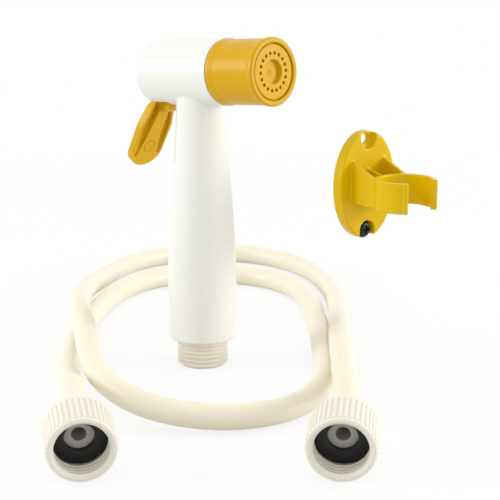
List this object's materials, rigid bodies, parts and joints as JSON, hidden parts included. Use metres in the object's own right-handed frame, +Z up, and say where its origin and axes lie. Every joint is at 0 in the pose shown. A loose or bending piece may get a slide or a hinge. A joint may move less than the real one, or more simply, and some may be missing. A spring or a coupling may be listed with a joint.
{
  "type": "handheld trigger sprayer set",
  "caption": "Handheld bath sprayer with a squeeze lever at its back, a looped hose with union nuts and an oval wall bracket with a spring clip.",
  "frame": {"origin": "centre of the handset's inlet face, which stands on the floor", "axes": "+Z up along the handle, +X the way the head sprays, +Y to the left of someone looking along +X"},
  "size_m": [0.2807, 0.2815, 0.1382],
  "materials": {
    "white_shell": "smooth, slightly warm white moulding",
    "yellow_plastic": "smooth golden yellow moulding",
    "cream_plastic": "smooth cream moulding",
    "hose_plastic": "soft translucent cream tube",
    "insert_plastic": "grey white moulding",
    "black_rubber": "matt black rubber",
    "steel": "bright stainless",
    "brass": "turned",
    "black_steel": "black oxide"
  },
  "bodies": {
    "handset": {"body_shell": "white_shell", "rear_plug": "white_shell", "nozzle_sleeve": "yellow_plastic", "spray_face": "yellow_plastic", "inlet_connector": "cream_plastic", "lever_pin": "steel", "valve_spring": "steel", "spring_washer": "steel", "gland": "cream_plastic", "gland_o_ring": "black_rubber", "stem_o_ring": "black_rubber", "seat_ring": "cream_plastic", "seat_o_ring": "black_rubber", "nozzle_o_ring": "black_rubber", "hose": "hose_plastic", "left_insert": "insert_plastic", "right_insert": "insert_plastic", "bracket_plate": "yellow_plastic", "bracket_arm": "yellow_plastic", "clip_ring": "yellow_plastic", "bracket_screw": "black_steel"},
    "lever": {"lever": "yellow_plastic"},
    "stem": {"valve_stem": "brass", "stem_nut": "steel", "seal_disc": "black_rubber", "disc_cap": "brass"},
    "left_nut": {"left_nut": "cream_plastic", "left_washer": "black_rubber"},
    "right_nut": {"right_nut": "cream_plastic", "right_washer": "black_rubber"}
  },
  "joints": [
    {"name": "lever_press", "type": "hinge", "parent": "handset", "child": "lever", "pos_m": [-0.01693, 0, 0.11371], "axis": [0, -1, 0], "range_deg": [0, 16], "stiffness_Nm_per_rad": 0.3, "springref_deg": -20.05},
    {"name": "stem_pull", "type": "slide", "parent": "handset", "child": "stem", "axis": [-0.9972, 0, -0.075], "range_m": [0, 0.002], "deforming": ["valve_spring"]},
    {"name": "left_nut_spin", "type": "hinge", "parent": "handset", "child": "left_nut", "pos_m": [0.05491, -0.11485, 0.0139], "axis": [0.8091, -0.5665, -0.1564], "continuous": true},
    {"name": "right_nut_spin", "type": "hinge", "parent": "handset", "child": "right_nut", "pos_m": [0.12026, -0.05365, 0.0139], "axis": [0.5805, -0.7991, -0.1564], "continuous": true}
  ],
  "couplings": [
    {"joint": "stem_pull", "follows": "lever_press", "m_per_rad": 0.007}
  ]
}
